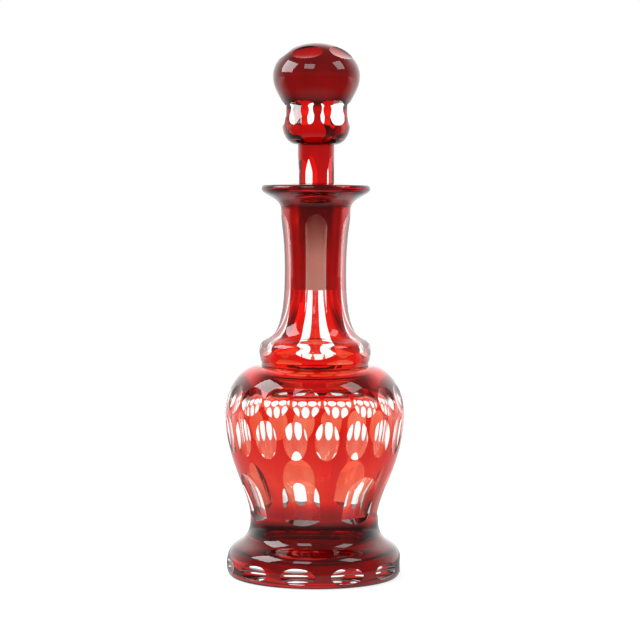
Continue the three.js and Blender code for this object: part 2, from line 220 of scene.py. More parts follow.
class Section:
    """Half of a turned piece's section: points of radius and height, and the surface each stretch makes."""

    def __init__(self, radius, height):
        self.points = [np.array([radius, height])]
        self.surfaces = []
        self.outside = 0

    def add(self, points, surface):
        self.points += [np.array(point) for point in points]
        self.surfaces += [surface] * len(points)

    def end_outside(self):
        """The points up to here are the outside, which the cuts are laid on."""
        self.outside = len(self.points)

    def line(self, radius, height, surface=SKIN):
        start, end = self.points[-1], np.array([radius, height])
        count = max(1, math.ceil(np.linalg.norm(end - start) / ROW_SPACING / STRAIGHT_STRETCH))
        self.add([start + (end - start) * (i + 1) / count for i in range(count)], surface)

    def bezier(self, first, second, end, surface):
        start = self.points[-1]
        first, second, end = np.array(first), np.array(second), np.array(end)
        lines = sum(np.linalg.norm(b - a) for a, b in ((start, first), (first, second), (second, end)))
        count = max(FEWEST_ROWS, math.ceil(lines * CURVE_TO_LINES / ROW_SPACING))
        points = []
        for i in range(1, count + 1):
            t = i / count
            near = start * (1 - t) ** 3 + first * 3 * t * (1 - t) ** 2
            points.append(near + second * 3 * t * t * (1 - t) + end * t ** 3)
        self.add(points, surface)

    def handled(self, radius, height, handles, surface):
        """A curve with a handle, outwards and upwards, at each of its two ends."""
        x, z = self.points[-1]
        start, end = handles
        first = (x + start[0], z + start[1])
        second = (radius - end[0], height - end[1])
        self.bezier(first, second, (radius, height), surface)

    def upright(self, radius, height, shares, surface=SKIN):
        """A curve that is upright at both ends, such as the side of a waist."""
        x, z = self.points[-1]
        rise = height - z
        first = (x, z + shares[0] * rise)
        second = (radius, height - shares[1] * rise)
        self.bezier(first, second, (radius, height), surface)

    def quarter(self, radius, height, starts_upright, surface=SKIN):
        """A quarter of an ellipse, from upright to level or the other way round."""
        x, z = self.points[-1]
        across = QUARTER_ROUND * (radius - x)
        up = QUARTER_ROUND * (height - z)
        if starts_upright:
            self.bezier((x, z + up), (radius - across, height), (radius, height), surface)
        else:
            self.bezier((x + across, z), (radius, height - up), (radius, height), surface)


def bottle_section():
    """From the dish under the foot, up the outside, over the lip and down the hollow to its floor."""
    section = Section(0, DISH_DEPTH)
    dish = REST_RADIUS - REST_RING_WIDTH
    section.bezier((dish / 3, DISH_DEPTH), (dish * 2 / 3, DISH_DEPTH * DISH_SHARE), (dish, 0), POLISHED)
    section.line(REST_RADIUS, 0, GROUND)
    section.quarter(FOOT_RADIUS, EDGE_Z, False)
    section.upright(WAIST_RADIUS, WAIST_Z, FOOT_CURVE)
    section.upright(BELLY_RADIUS, BELLY_Z, BODY_CURVE)
    section.quarter(GROOVE_RADIUS, COLLAR_Z, True)
    section.line(GROOVE_RADIUS, GROOVE_TOP_Z)
    section.quarter(RING_RADIUS, RING_Z, False)
    section.upright(NECK_RADIUS, NECK_Z, NECK_CURVE)
    section.upright(THROAT_RADIUS, THROAT_Z, THROAT_CURVE)
    section.upright(LIP_RADIUS, LIP_Z, LIP_CURVE)
    section.end_outside()
    section.quarter(LIP_RADIUS - LIP_EDGE_WIDTH, LIP_TOP_Z, True)
    section.line(THROAT_RADIUS, MOUTH_Z)
    section.line(SEAT_TOP_RADIUS + MOUTH_ROUNDING, MOUTH_Z)
    section.quarter(SEAT_TOP_RADIUS, MOUTH_Z - MOUTH_ROUNDING, False, POLISHED)
    section.line(SEAT_END_RADIUS, PLUG_END_Z, GROUND)
    section.line(SEAT_END_RADIUS, PLUG_END_Z - THROAT_LENGTH, POLISHED)
    section.handled(ROOT_RADIUS, ROOT_Z, ROOT_HANDLES, POLISHED)
    section.handled(HOLLOW_RING_RADIUS, HOLLOW_RING_Z, HOLLOW_RING_HANDLES, POLISHED)
    section.handled(SHOULDER_RADIUS, SHOULDER_Z, SHOULDER_HANDLES, POLISHED)
    section.handled(BELLY_RADIUS - BELLY_WALL, BELLY_Z, BELLY_HANDLES, POLISHED)
    section.handled(WELL_RADIUS, WELL_TOP_Z, WELL_HANDLES, POLISHED)
    section.line(WELL_RADIUS, WELL_Z, POLISHED)
    section.handled(FLOOR_RADIUS, FLOOR_Z, WELL_CORNER_HANDLES, POLISHED)
    section.line(0, FLOOR_Z, POLISHED)
    return section


def stopper_section():
    """From the end of the plug, up the shank, the bulb and the knob."""
    end = SEAT_END_RADIUS - SEAT_GAP
    top = SEAT_TOP_RADIUS - SEAT_GAP
    section = Section(0, PLUG_END_Z)
    section.line(end - PLUG_END_BEVEL, PLUG_END_Z, POLISHED)
    section.quarter(end, PLUG_END_Z + PLUG_END_BEVEL, False, GROUND)
    section.line(top, MOUTH_Z - MOUTH_ROUNDING, GROUND)
    section.line(top, BULB_FOOT_Z)
    section.quarter(BULB_RADIUS, BULB_Z, False)
    section.upright(KNOB_WAIST_RADIUS, KNOB_WAIST_Z, KNOB_WAIST_CURVE)
    section.upright(KNOB_RADIUS, KNOB_Z, KNOB_CURVE)
    section.quarter(0, TOP_Z, True)
    section.end_outside()
    return section


BOTTLE = bottle_section()
STOPPER = stopper_section()


def turned(name, section, steps):
    """A closed mesh turned about Z, whose faces carry the surface that they belong to."""
    turns = np.arange(steps) * 2 * math.pi / steps
    corners, rings = [], []
    for radius, height in np.array(section.points) * MM:
        if radius < TINY:
            rings.append([len(corners)] * steps)
            corners.append((0.0, 0.0, height))
        else:
            rings.append(list(range(len(corners), len(corners) + steps)))
            corners += [(radius * math.sin(t), -radius * math.cos(t), height) for t in turns]
    faces, surfaces = [], []
    for low, high, surface in zip(rings, rings[1:], section.surfaces):
        for i in range(steps):
            k = (i + 1) % steps
            loop = [low[i], low[k], high[k], high[i]]
            faces.append(list(dict.fromkeys(loop)))
            surfaces.append(surface)
    return finished_mesh(name, corners, faces, surfaces)


def finished_mesh(name, corners, faces, surfaces):
    """A smooth mesh with its creases kept, whose faces carry their surface numbers."""
    mesh = bpy.data.meshes.new(name)
    mesh.from_pydata([tuple(c) for c in corners], [], faces)
    mesh.attributes.new(SURFACE, "INT", "FACE").data.foreach_set("value", surfaces)
    mesh.shade_smooth()
    mesh.set_sharp_from_angle(angle=CREASE)
    mesh.update()
    return mesh


def store_normals(mesh):
    """Keeps the smooth normals as an attribute, so that a face inherits them when it is cut."""
    normals = np.zeros(len(mesh.loops) * 3, np.float32)
    mesh.corner_normals.foreach_get("vector", normals)
    store = mesh.attributes.get(SMOOTH_NORMAL) or mesh.attributes.new(SMOOTH_NORMAL, "FLOAT_VECTOR", "CORNER")
    store.data.foreach_set("vector", normals)


class Spot:
    """Where a cut sits on a section: its radius and height, its tilt upwards and its curvatures, in mm."""

    def __init__(self, section, height, reach):
        outside = np.array(section.points[:section.outside])
        rises_past = (outside[1:, 1] >= height) & (outside[:-1, 1] < height)
        climb = np.argmax(rises_past & (outside[1:, 0] > NEAREST_CUT))
        lengths = np.concatenate([[0], np.cumsum(np.linalg.norm(np.diff(outside, axis=0), axis=1))])
        share = (height - outside[climb, 1]) / (outside[climb + 1, 1] - outside[climb, 1])
        here = lengths[climb] + share * (lengths[climb + 1] - lengths[climb])

        def at(length):
            return np.array([np.interp(length, lengths, outside[:, axis]) for axis in (0, 1)])

        middle = at(here)
        below, above = middle - at(here - reach / 2), at(here + reach / 2) - middle
        self.radius, self.height = middle
        self.tilt = math.atan2(-below[0] - above[0], below[1] + above[1])
        turn = math.atan2(-above[0], above[1]) - math.atan2(-below[0], below[1])
        self.around = math.cos(self.tilt) / self.radius
        self.along = turn / (reach / 2)

    def matrix(self):
        """Puts a cutter that faces +Z on the front of the piece, facing out."""
        out = Vector((0, -1, 0)) * math.cos(self.tilt) + Vector((0, 0, 1)) * math.sin(self.tilt)
        side = Vector((1, 0, 0))
        along = out.cross(side)
        rotation = Matrix((side, along, out)).transposed().to_4x4()
        return Matrix.Translation((0, -self.radius * MM, self.height * MM)) @ rotation


def radius_at(section, height):
    """Radius of the outside at a height, on the way up from its lowest point."""
    outside = np.array(section.points[:section.outside])
    climbing = outside[np.argmax(outside[:, 1] <= outside[:, 1].min() + TINY):]
    order = np.argsort(climbing[:, 1], kind="stable")
    return float(np.interp(height, climbing[order, 1], climbing[order, 0]))


def wheel_cutter(name, section, height, width, length, depth):
    """The bowl of a round-edged wheel: it leaves a hollow oval of a given width, length and depth."""
    spot = Spot(section, height, length)
    bulge = BOWL_DEPTHS * depth
    # A hollow that deep and wide has a curvature of 8 depths over its width squared
    across = math.sqrt(bulge / max(8 * depth / width ** 2 - spot.around, FLATTEST_BOWL))
    along = math.sqrt(bulge / max(8 * depth / length ** 2 - spot.along, FLATTEST_BOWL))
    corners = [(0, 0, -depth)]
    for ring in range(1, BOWL_RINGS + 1):
        polar = BOWL_ANGLE * ring / BOWL_RINGS
        level = bulge * (1 - math.cos(polar)) - depth
        for i in range(BOWL_STEPS):
            turn = 2 * math.pi * i / BOWL_STEPS
            x = across * math.sin(polar) * math.cos(turn)
            corners.append((x, along * math.sin(polar) * math.sin(turn), level))
    top = len(corners)
    for i in range(BOWL_STEPS):
        x, y, z = corners[top - BOWL_STEPS + i]
        corners.append((x, y, z + 2 * depth))
    faces = [[0, 1 + (i + 1) % BOWL_STEPS, 1 + i] for i in range(BOWL_STEPS)]
    for ring in range(BOWL_RINGS):
        low = 1 + ring * BOWL_STEPS
        high = low + BOWL_STEPS
        for i in range(BOWL_STEPS):
            k = (i + 1) % BOWL_STEPS
            faces.append([low + i, low + k, high + k, high + i])
    faces.append([top + i for i in range(BOWL_STEPS)])
    matrix = spot.matrix()
    corners = [matrix @ (Vector(corner) * MM) for corner in corners]
    return finished_mesh(name, corners, faces, [POLISHED] * len(faces))


def flute_cutter(name, section, bottom, top, half_width, run_out=0.0, slope=0.0, hollow=0.0, reach=0.0):
    """A wheel drawn along the glass, as deep as its width on the round body makes it.

    hollow is the radius of a wheel whose edge is rounded: it leaves a trough instead of a flat. With a
    run_out the wheel climbs out of the glass below its bottom, at the slope given. A reach keeps the flute at
    one distance from the axis.
    """
    count = max(FEWEST_ROWS, math.ceil((top - bottom) / FLUTE_SPACING))
    rows = []
    for i in range(count + 1):
        height = bottom + (top - bottom) * i / count
        radius = radius_at(section, height)
        width = min(half_width(height), radius * WIDEST_FLUTE)
        away = reach or math.sqrt(radius ** 2 - width ** 2)
        rows.append((away, height, width * FLUTE_MARGIN + FLUTE_EDGE, radius + FLUTE_LIFT))
    if run_out:
        away, height, width, outer = rows[0]
        for i in range(1, RUN_OUT_STEPS + 1):
            step = run_out * i / RUN_OUT_STEPS
            climbed = away + slope * step
            rows.insert(0, (climbed, height - step, width, max(outer, climbed + FLUTE_LIFT)))
    corners, faces = [], []
    across = FLUTE_STEPS if hollow else 1
    for away, height, width, outer in rows:
        rim = (width - FLUTE_EDGE) / FLUTE_MARGIN
        for i in range(across + 1):
            x = -width + 2 * width * i / across
            trough = (rim ** 2 - x ** 2) / (2 * hollow) if hollow else 0.0
            corners.append((x, -away + trough, height))
        corners += [(width, -outer, height), (-width, -outer, height)]
    ring = across + 3
    for i in range(len(rows) - 1):
        low, high = ring * i, ring * (i + 1)
        for a in range(ring):
            b = (a + 1) % ring
            faces.append([low + b, low + a, high + a, high + b])
    faces.append(list(range(ring)))
    last = ring * (len(rows) - 1)
    faces.append([last + i for i in reversed(range(ring))])
    corners = [Vector(corner) * MM for corner in corners]
    return finished_mesh(name, corners, faces, [POLISHED] * len(faces))


def arch_width(height):
    """Half the width of an arch: straight sides under a round top."""
    over = max(0.0, height - (ARCH_TOP - ARCH_HALF_WIDTH))
    return math.sqrt(max(0.0, ARCH_HALF_WIDTH ** 2 - over ** 2))


def neck_panel_width(height):
    """Half the width of a neck panel: a steady share of the neck's round, rounded off at its top."""
    low = min(1.0, max(0.0, (NECK_Z - height) / (NECK_Z - NECK_PANEL_BOTTOM)))
    half_angle = math.radians(NECK_PANEL_ANGLE + NECK_PANEL_SPREAD * low ** 2)
    round_bottom = NECK_PANEL_TOP - NECK_PANEL_ROUND_TOP
    over = min(1.0, max(0.0, (height - round_bottom) / NECK_PANEL_ROUND_TOP))
    return radius_at(BOTTLE, height) * math.sin(half_angle) * math.sqrt(1 - over ** 2)


def shank_panel_width(height):
    """Half the width of a shank panel, which narrows to a point at both ends."""
    ends = min(height - SHANK_PANEL_BOTTOM, SHANK_PANEL_TOP - height) / SHANK_PANEL_POINT
    return SHANK_PANEL_HALF_WIDTH * math.sqrt(min(1.0, max(0.0, ends)))


def window_width(height):
    """Half the width of a bulb window: a rectangle with round corners."""
    low_corner = WINDOW_BOTTOM + WINDOW_CORNER
    over = max(0.0, low_corner - height, height - (WINDOW_TOP - WINDOW_CORNER))
    return WINDOW_HALF_WIDTH - WINDOW_CORNER + math.sqrt(max(0.0, WINDOW_CORNER ** 2 - over ** 2))


def node(tree, kind, inputs=None, **settings):
    """Adds a node, sets its options, and fills each input with a value or links a socket to it."""
    made = tree.nodes.new(kind)
    for name, value in settings.items():
        setattr(made, name, value)
    for key, value in (inputs or {}).items():
        if isinstance(value, bpy.types.NodeSocket):
            tree.links.new(value, made.inputs[key])
        else:
            made.inputs[key].default_value = value
    return made


def row_tree():
    """Geometry nodes: copies of one cutter at even turns round the axis of the piece."""
    tree = bpy.data.node_groups.new("Row of cuts", "GeometryNodeTree")
    tree.interface.new_socket("Geometry", in_out="OUTPUT", socket_type="NodeSocketGeometry")
    inputs = (("Cutter", "Geometry"), ("Copies", "Int"), ("First turn", "Float"), ("Finish", "Material"))
    for name, kind in inputs:
        tree.interface.new_socket(name, in_out="INPUT", socket_type="NodeSocket" + kind)
    given = node(tree, "NodeGroupInput").outputs
    points = node(tree, "GeometryNodePoints", {"Count": given["Copies"]})
    pitch = node(tree, "ShaderNodeMath", {0: math.tau, 1: given["Copies"]}, operation="DIVIDE")
    turn = node(tree, "ShaderNodeMath", {
        0: node(tree, "GeometryNodeInputIndex").outputs[0],
        1: pitch.outputs[0],
        2: given["First turn"],
    }, operation="MULTIPLY_ADD")
    about = node(tree, "ShaderNodeCombineXYZ", {"Z": turn.outputs[0]})
    copies = node(tree, "GeometryNodeInstanceOnPoints", {
        "Points": points.outputs[0],
        "Instance": given["Cutter"],
        "Rotation": node(tree, "FunctionNodeEulerToRotation", {0: about.outputs[0]}).outputs[0],
    })
    real = node(tree, "GeometryNodeRealizeInstances", {"Geometry": copies.outputs[0]})
    finish = node(tree, "GeometryNodeSetMaterial", {"Geometry": real.outputs[0], "Material": given["Finish"]})
    node(tree, "NodeGroupOutput", {"Geometry": finish.outputs[0]})
    return tree


def placed_object(mesh):
    made = bpy.data.objects.new(mesh.name, mesh)
    bpy.context.scene.collection.objects.link(made)
    return made


def evaluated_mesh(made):
    """The object's mesh with its modifiers worked out, as a plain mesh of its own."""
    depsgraph = bpy.context.evaluated_depsgraph_get()
    mesh = bpy.data.meshes.new_from_object(made.evaluated_get(depsgraph), preserve_all_data_layers=True,
                                           depsgraph=depsgraph)
    mesh.name = made.name
    return mesh


def row_of_cuts(tree, cutter, copies, first_turn, finish):
    """One row's cutters as a plain mesh, with their smooth normals stored."""
    made = placed_object(cutter)
    modifier = made.modifiers.new("row", "NODES")
    modifier.node_group = tree
    values = {"Copies": copies, "First turn": math.radians(first_turn), "Finish": finish}
    for item in tree.interface.items_tree:
        if item.item_type == "SOCKET" and item.in_out == "INPUT" and item.name in values:
            modifier[item.identifier] = values[item.name]
    mesh = evaluated_mesh(made)
    bpy.data.objects.remove(made)
    store_normals(mesh)
    return mesh


def cut(blank, rows):
    """Takes each row of cutters out of a blank. Its faces keep the surface and normals that they had."""
    store_normals(blank)
    piece = placed_object(blank)
    for row in rows:
        tool = placed_object(row)
        modifier = piece.modifiers.new("cut", "BOOLEAN")
        modifier.operation = "DIFFERENCE"
        modifier.solver = "MANIFOLD"
        modifier.object = tool
        piece.data = evaluated_mesh(piece)
        piece.modifiers.clear()
        bpy.data.objects.remove(tool)
    mesh = piece.data
    bpy.data.objects.remove(piece)
    return mesh


def smooth_as_cut(mesh):
    """Gives every face the finish and the smooth normals of the surface it came from, turned outwards."""
    normals = np.zeros(len(mesh.loops) * 3, np.float32)
    mesh.attributes[SMOOTH_NORMAL].data.foreach_get("vector", normals)
    normals = normals.reshape(-1, 3)
    faces = np.zeros(len(mesh.polygons) * 3, np.float32)
    mesh.polygons.foreach_get("normal", faces)
    totals = np.zeros(len(mesh.polygons), int)
    mesh.polygons.foreach_get("loop_total", totals)
    facing = np.repeat(faces.reshape(-1, 3), totals, axis=0)
    normals *= np.where((normals * facing).sum(axis=1, keepdims=True) < 0, -1, 1)
    normals /= np.maximum(np.linalg.norm(normals, axis=1, keepdims=True), TINY)
    surfaces = np.zeros(len(mesh.polygons), np.int32)
    mesh.attributes[SURFACE].data.foreach_get("value", surfaces)
    mesh.polygons.foreach_set("material_index", surfaces)
    mesh.normals_split_custom_set([Vector(n) for n in normals])
    for name in (SMOOTH_NORMAL, SURFACE):
        mesh.attributes.remove(mesh.attributes[name])
    mesh.update()


def linear(hex_colour):
    """sRGB hex to a linear colour."""
    channels = [int(hex_colour[i:i + 2], 16) / 255 for i in (1, 3, 5)]
    return [c / 12.92 if c <= 0.04045 else ((c + 0.055) / 1.055) ** 2.4 for c in channels] + [1.0]


WHITE = (1, 1, 1, 1)
CRYSTAL_IOR = 1.5

# Sockets of a Mix node that mixes colours
COLOUR_A, COLOUR_B, COLOUR_RESULT = 6, 7, 2

# Colour of light that has passed one layer of the ruby flash, cut crystal, and ground glass low down and high
# up, where it is painted darker as the shade under the lip
RUBY = "#e64a30"
CLEAR = "#fefefd"
PALE_GROUND = "#fff2ec"
SHADED_GROUND = "#d8beb6"

# How many such layers thick the flash is, by height in mm: thin where the bottle was blown out, thick in the
# neck and the shank. Thickest in the solid foot and knob and raised at the shoulder and low on the bulb,
# where the extra layers are painted shade.
FLASH_AND_SHADE_LAYERS = (
    (0, 4.0), (22, 4.4), (31, 2.2), (36, 0.9), (46, 0.7), (60, 0.8), (72, 1.0), (84, 0.9), (94, 0.75),
    (103, 1.0), (110, 1.7), (115, 1.0), (122, 1.0), (128, 1.3), (150, 1.9), (190, 2.3), (204, 2.0),
    (212, 1.8), (218, 2.0), (224, 2.0), (240, 2.2), (247, 3.0), (254, 1.7), (262, 1.8), (268, 3.6),
    (278, 3.6), (290, 4.8), (300, 4.8),
)
THICKEST = 5.0

# The flash runs in streaks about 17 mm wide and 70 mm long, and is up to a quarter thinner or thicker in them
STREAKS_PER_METRE = (60, 60, 14)
STREAK_THIN, STREAK_THICK = 0.75, 1.25

# Waves of the polishing wheel, about 7 mm long
WAVES_PER_METRE = 140.0

# Pits of the grit, about half a millimetre across: coarser than real ones, which would not show
GRIT_PER_METRE = 1800.0

# Heights in metres between which the ground glass goes from pale to painted shade, the shade under the lip
SHADE_FROM, SHADE_TO = 0.181, 0.203

# Share of the light that the ground surface scatters low down and high up in the painted shade, and how much
# wear changes that, in patches of about 9 mm
CLOUD_LOW_DOWN, CLOUD_HIGH_UP = 0.6, 0.35
WEAR_PER_METRE = 110.0
WORN, UNWORN = 0.75, 1.25


def empty_material(name):
    """A new material, its empty tree, and the place on the piece that its patterns are laid by."""
    material = bpy.data.materials.new(name)
    material.use_nodes = True
    tree = material.node_tree
    tree.nodes.clear()
    place = node(tree, "ShaderNodeTexCoord").outputs["Object"]
    return material, tree, place


def ruby_flashed_crystal():
    """Crystal under a fused skin of copper ruby, fire polished.

    That gives the eye a clear deep red with sharp reflections. The skin stains what passes, and stains it
    twice on a bounce inside. Its extra layers in the solid foot and knob, at the shoulder and low on the bulb
    are painted shade.
    """
    material, tree, place = empty_material("ruby flashed crystal")
    height = node(tree, "ShaderNodeSeparateXYZ", {0: place}).outputs["Z"]
    share = node(tree, "ShaderNodeMath", {0: height, 1: TOP_Z * MM}, operation="DIVIDE")
    # Layers of flash by height, with painted shade added in the foot, shoulder, lower bulb and knob
    flash_and_shade = node(tree, "ShaderNodeValToRGB", {0: share.outputs[0]})
    stops = flash_and_shade.color_ramp.elements
    while len(stops) < len(FLASH_AND_SHADE_LAYERS):
        stops.new(1.0)
    for stop, (level, amount) in zip(stops, FLASH_AND_SHADE_LAYERS):
        stop.position = level / TOP_Z
        stop.color = [amount / THICKEST] * 3 + [1.0]
    drawn = node(tree, "ShaderNodeMapping", {"Vector": place, "Scale": STREAKS_PER_METRE})
    streaks = node(tree, "ShaderNodeTexNoise", {"Vector": drawn.outputs[0], "Scale": 1.0, "Detail": 3.0})
    uneven = node(tree, "ShaderNodeMapRange", {
        "Value": streaks.outputs["Fac"],
        "From Min": 0.3,
        "From Max": 0.7,
        "To Min": STREAK_THIN * THICKEST,
        "To Max": STREAK_THICK * THICKEST,
    })
    layers = node(tree, "ShaderNodeMath", {
        0: flash_and_shade.outputs[0],
        1: uneven.outputs[0],
    }, operation="MULTIPLY")
    flash = node(tree, "ShaderNodeGamma", {"Color": linear(RUBY), "Gamma": layers.outputs[0]})
    twice = node(tree, "ShaderNodeMix", {
        "Factor": 1.0,
        COLOUR_A: flash.outputs[0],
        COLOUR_B: flash.outputs[0],
    }, data_type="RGBA", blend_type="MULTIPLY")
    mirrored = node(tree, "ShaderNodeMix", {
        "Factor": node(tree, "ShaderNodeNewGeometry").outputs["Backfacing"],
        COLOUR_A: WHITE,
        COLOUR_B: twice.outputs[COLOUR_RESULT],
    }, data_type="RGBA")
    through = node(tree, "ShaderNodeBsdfRefraction", {
        "Color": flash.outputs[0],
        "Roughness": 0.0,
        "IOR": CRYSTAL_IOR,
    })
    bounced = node(tree, "ShaderNodeBsdfAnisotropic", {
        "Color": mirrored.outputs[COLOUR_RESULT],
        "Roughness": 0.0,
    })
    fresnel = node(tree, "ShaderNodeFresnel", {"IOR": CRYSTAL_IOR})
    glass = node(tree, "ShaderNodeMixShader", {
        0: fresnel.outputs[0],
        1: through.outputs[0],
        2: bounced.outputs[0],
    })
    node(tree, "ShaderNodeOutputMaterial", {"Surface": glass.outputs[0]})
    return material


def polished_crystal():
    """Colourless crystal, cut and polished: clear, with the faint waves that a polishing wheel leaves."""
    material, tree, place = empty_material("polished crystal")
    waves = node(tree, "ShaderNodeTexNoise", {"Vector": place, "Scale": WAVES_PER_METRE, "Detail": 1.0})
    bump = node(tree, "ShaderNodeBump", {"Height": waves.outputs["Fac"], "Strength": 0.04, "Distance": 0.001})
    normal = bump.outputs[0]
    through = node(tree, "ShaderNodeBsdfRefraction", {
        "Color": linear(CLEAR),
        "Roughness": 0.0,
        "IOR": CRYSTAL_IOR,
        "Normal": normal,
    })
    bounced = node(tree, "ShaderNodeBsdfAnisotropic", {"Color": WHITE, "Roughness": 0.0, "Normal": normal})
    fresnel = node(tree, "ShaderNodeFresnel", {"IOR": CRYSTAL_IOR, "Normal": normal})
    glass = node(tree, "ShaderNodeMixShader", {
        0: fresnel.outputs[0],
        1: through.outputs[0],
        2: bounced.outputs[0],
    })
    node(tree, "ShaderNodeOutputMaterial", {"Surface": glass.outputs[0]})
    return material


def ground_glass():
    """Crystal ground with wet sand where plug and seat meet: matt and cloudy, with the fine pits of the grit.

    Higher up, under the lip, it is painted darker as shade, and it scatters less there, so it looks clearer.
    """
    material, tree, place = empty_material("ground glass")
    grit = node(tree, "ShaderNodeTexNoise", {"Vector": place, "Scale": GRIT_PER_METRE, "Detail": 2.0})
    bump = node(tree, "ShaderNodeBump", {"Height": grit.outputs["Fac"], "Strength": 0.25, "Distance": 0.0004})
    normal = bump.outputs[0]
    height = node(tree, "ShaderNodeSeparateXYZ", {0: place}).outputs["Z"]
    # Painted shade: how far up into the shade under the lip the ground glass is
    under_lip_shade = node(tree, "ShaderNodeMapRange", {
        "Value": height,
        "From Min": SHADE_FROM,
        "From Max": SHADE_TO,
        "To Min": 0.0,
        "To Max": 1.0,
    })
    shade = node(tree, "ShaderNodeMix", {
        "Factor": under_lip_shade.outputs[0],
        COLOUR_A: linear(PALE_GROUND),
        COLOUR_B: linear(SHADED_GROUND),
    }, data_type="RGBA")
    pale = shade.outputs[COLOUR_RESULT]
    through = node(tree, "ShaderNodeBsdfRefraction", {
        "Color": pale,
        "Roughness": 0.32,
        "IOR": CRYSTAL_IOR,
        "Normal": normal,
    })
    bounced = node(tree, "ShaderNodeBsdfAnisotropic", {"Color": WHITE, "Roughness": 0.4, "Normal": normal})
    fresnel = node(tree, "ShaderNodeFresnel", {"IOR": CRYSTAL_IOR, "Normal": normal})
    glass = node(tree, "ShaderNodeMixShader", {
        0: fresnel.outputs[0],
        1: through.outputs[0],
        2: bounced.outputs[0],
    })
    powder = node(tree, "ShaderNodeBsdfTranslucent", {"Color": pale, "Normal": normal})
    patches = node(tree, "ShaderNodeTexNoise", {"Vector": place, "Scale": WEAR_PER_METRE, "Detail": 3.0})
    wear = node(tree, "ShaderNodeMapRange", {
        "Value": patches.outputs["Fac"],
        "From Min": 0.35,
        "From Max": 0.65,
        "To Min": WORN,
        "To Max": UNWORN,
    })
    cloud = node(tree, "ShaderNodeMapRange", {
        "Value": under_lip_shade.outputs[0],
        "To Min": CLOUD_LOW_DOWN,
        "To Max": CLOUD_HIGH_UP,
    })
    share = node(tree, "ShaderNodeMath", {0: cloud.outputs[0], 1: wear.outputs[0]}, operation="MULTIPLY")
    cloudy = node(tree, "ShaderNodeMixShader", {
        0: share.outputs[0],
        1: glass.outputs[0],
        2: powder.outputs[0],
    })
    node(tree, "ShaderNodeOutputMaterial", {"Surface": cloudy.outputs[0]})
    return material


# Finishes in the order of the surface numbers
FINISHES = [ruby_flashed_crystal(), polished_crystal(), ground_glass()]

arch = flute_cutter("arch", BOTTLE, ARCH_BOTTOM, ARCH_TOP, arch_width, run_out=ARCH_RUN_OUT, slope=ARCH_SLOPE,
                    hollow=ARCH_HOLLOW)
neck_panel = flute_cutter("neck panel", BOTTLE, NECK_PANEL_BOTTOM, NECK_PANEL_TOP, neck_panel_width,
                          run_out=NECK_PANEL_RUN_OUT, slope=NECK_PANEL_SLOPE)
shank_panel = flute_cutter("shank panel", STOPPER, SHANK_PANEL_BOTTOM, SHANK_PANEL_TOP, shank_panel_width)
window = flute_cutter("bulb window", STOPPER, WINDOW_BOTTOM, WINDOW_TOP, window_width, reach=WINDOW_REACH)

# Each row's cutter, how many cuts it has, and the turn of its first one in degrees
BOTTLE_ROWS = [
    (wheel_cutter("foot oval", BOTTLE, FOOT_OVAL_Z, *FOOT_OVAL), 11, -10.5),
    (arch, 7, -10.8),
    (wheel_cutter("tall oval", BOTTLE, TALL_OVAL_Z, *TALL_OVAL), 18, 7.9),
    (wheel_cutter("round oval", BOTTLE, ROUND_OVAL_Z, *ROUND_OVAL), 18, -5.2),
    (neck_panel, 5, 1.0),
]
STOPPER_ROWS = [
    (shank_panel, 5, -14.7),
    (window, 6, -28.0),
    (wheel_cutter("knob oval", STOPPER, KNOB_OVAL_Z, *KNOB_OVAL), 5, -18.0),
]

ROW_TREE = row_tree()


def make_piece(name, section, steps, rows, replaced, body):
    """Turns a piece, takes its rows of cuts out of it, and puts it in the place of its solid."""
    clear = FINISHES[POLISHED]
    cutters = [row_of_cuts(ROW_TREE, cutter, copies, turn, clear) for cutter, copies, turn in rows]
    mesh = cut(turned(name, section, steps), cutters)
    mesh.name = name
    mesh.materials.clear()
    for finish in FINISHES:
        mesh.materials.append(finish)
    smooth_as_cut(mesh)
    piece = placed_object(mesh)
    piece.name = name
    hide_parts(replaced)
    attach(piece, body)


make_piece("bottle", BOTTLE, BOTTLE_STEPS, BOTTLE_ROWS, "carafe_body", "bottle")
make_piece("glass_stopper", STOPPER, STOPPER_STEPS, STOPPER_ROWS, "stopper", "stopper")


# Floor: half its side and how far below the foot it lies, in metres
FLOOR_REACH = 6.0
FLOOR_DROP = 0.0002

# Grey of the paper that carries the shadow, and what is added for the camera alone to make it white
PAPER_GREY = (0.36, 0.36, 0.36, 1)
PAPER_LIGHT = 0.75


